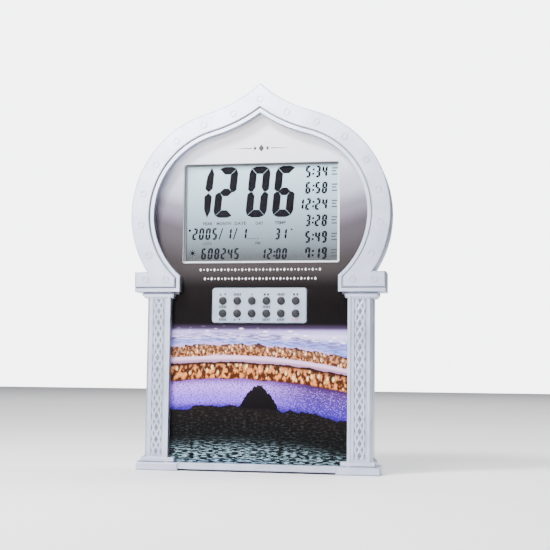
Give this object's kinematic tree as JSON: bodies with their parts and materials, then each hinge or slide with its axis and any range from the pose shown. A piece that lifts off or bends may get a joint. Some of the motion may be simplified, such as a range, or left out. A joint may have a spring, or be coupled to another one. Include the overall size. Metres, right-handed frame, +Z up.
{
  "type": "azan clock",
  "caption": "Digital prayer-time clock in a horseshoe-arch frame on two columns, with a display window, push buttons, rear speaker, battery door and folding stand leg.",
  "frame": {"origin": "centre of the overall box at the level of the two plinth bottoms, on the middle plane of the arch", "axes": "+Z up, +X to the right of someone facing the display, +Y from the display to the back cover"},
  "size_m": [0.2036, 0.038, 0.3],
  "materials": {
    "silver_abs": "silver lacquer on moulded plastic",
    "printed_sheet": "printed sheet",
    "grey_abs": "moulded",
    "display_glass": "polarised glass",
    "reflector_foil": "satin foil",
    "contact_rubber": "moulded silicone",
    "key_plate_abs": "silver lacquer on moulded plastic",
    "button_rubber": "moulded rubber",
    "circuit_board": "solder mask",
    "chip_resin": "cast resin",
    "tinned_steel": "tinned",
    "capacitor_sleeve": "shrunk sleeve",
    "screw_steel": "zinc plated",
    "back_abs": "fine spark texture",
    "pressed_steel": "zinc plated",
    "speaker_paper": "pressed paper",
    "ferrite": "sintered",
    "cell_jacket": "shrunk sleeve",
    "pin_steel": "drawn",
    "switch_black": "moulded",
    "lead_pvc": "extruded"
  },
  "bodies": {
    "case": {"front_shell": "silver_abs", "front_panel": "printed_sheet", "display_carrier": "grey_abs", "display_glass": "display_glass", "display_reflector": "reflector_foil", "zebra_strips": "contact_rubber", "button_plate": "key_plate_abs", "keypad_membrane": "contact_rubber", "main_board": "circuit_board", "board_chips": "chip_resin", "voice_chip": "chip_resin", "crystal": "tinned_steel", "capacitors": "capacitor_sleeve", "temperature_sensor": "chip_resin", "board_screws": "screw_steel", "carrier_screws": "screw_steel", "back_cover": "back_abs", "cover_screws": "screw_steel", "speaker_frame": "pressed_steel", "speaker_cone": "speaker_paper", "speaker_magnet": "ferrite", "speaker_screws": "screw_steel", "battery_cells": "cell_jacket", "battery_springs": "tinned_steel", "battery_plates": "tinned_steel", "stand_pin": "pin_steel", "volume_switch": "switch_black", "speaker_leads": "lead_pvc", "battery_leads": "lead_pvc"},
    "button_01_body": {"button_01": "button_rubber"},
    "button_02_body": {"button_02": "button_rubber"},
    "button_03_body": {"button_03": "button_rubber"},
    "button_04_body": {"button_04": "button_rubber"},
    "button_05_body": {"button_05": "button_rubber"},
    "button_06_body": {"button_06": "button_rubber"},
    "button_07_body": {"button_07": "button_rubber"},
    "button_08_body": {"button_08": "button_rubber"},
    "button_09_body": {"button_09": "button_rubber"},
    "button_10_body": {"button_10": "button_rubber"},
    "button_11_body": {"button_11": "button_rubber"},
    "button_12_body": {"button_12": "button_rubber"},
    "door": {"battery_door": "back_abs"},
    "leg": {"stand_leg": "back_abs"},
    "knob": {"volume_knob": "switch_black"}
  },
  "joints": [
    {"name": "button_01_press", "type": "slide", "parent": "case", "child": "button_01_body", "axis": [0, 1, 0], "range_m": [0, 0.0012], "stiffness_N_per_m": 200},
    {"name": "button_02_press", "type": "slide", "parent": "case", "child": "button_02_body", "axis": [0, 1, 0], "range_m": [0, 0.0012], "stiffness_N_per_m": 200},
    {"name": "button_03_press", "type": "slide", "parent": "case", "child": "button_03_body", "axis": [0, 1, 0], "range_m": [0, 0.0012], "stiffness_N_per_m": 200},
    {"name": "button_04_press", "type": "slide", "parent": "case", "child": "button_04_body", "axis": [0, 1, 0], "range_m": [0, 0.0012], "stiffness_N_per_m": 200},
    {"name": "button_05_press", "type": "slide", "parent": "case", "child": "button_05_body", "axis": [0, 1, 0], "range_m": [0, 0.0012], "stiffness_N_per_m": 200},
    {"name": "button_06_press", "type": "slide", "parent": "case", "child": "button_06_body", "axis": [0, 1, 0], "range_m": [0, 0.0012], "stiffness_N_per_m": 200},
    {"name": "button_07_press", "type": "slide", "parent": "case", "child": "button_07_body", "axis": [0, 1, 0], "range_m": [0, 0.0012], "stiffness_N_per_m": 200},
    {"name": "button_08_press", "type": "slide", "parent": "case", "child": "button_08_body", "axis": [0, 1, 0], "range_m": [0, 0.0012], "stiffness_N_per_m": 200},
    {"name": "button_09_press", "type": "slide", "parent": "case", "child": "button_09_body", "axis": [0, 1, 0], "range_m": [0, 0.0012], "stiffness_N_per_m": 200},
    {"name": "button_10_press", "type": "slide", "parent": "case", "child": "button_10_body", "axis": [0, 1, 0], "range_m": [0, 0.0012], "stiffness_N_per_m": 200},
    {"name": "button_11_press", "type": "slide", "parent": "case", "child": "button_11_body", "axis": [0, 1, 0], "range_m": [0, 0.0012], "stiffness_N_per_m": 200},
    {"name": "button_12_press", "type": "slide", "parent": "case", "child": "button_12_body", "axis": [0, 1, 0], "range_m": [0, 0.0012], "stiffness_N_per_m": 200},
    {"name": "battery_door_hinge", "type": "hinge", "parent": "case", "child": "door", "pos_m": [0, 0.0182, 0.115], "axis": [-1, 0, 0], "range_deg": [0, 100]},
    {"name": "stand_leg_hinge", "type": "hinge", "parent": "case", "child": "leg", "pos_m": [0, 0.0166, 0.104], "axis": [1, 0, 0], "range_deg": [0, 32]},
    {"name": "volume_slide", "type": "slide", "parent": "case", "child": "knob", "axis": [0, 0, 1], "range_m": [0, 0.004]}
  ]
}
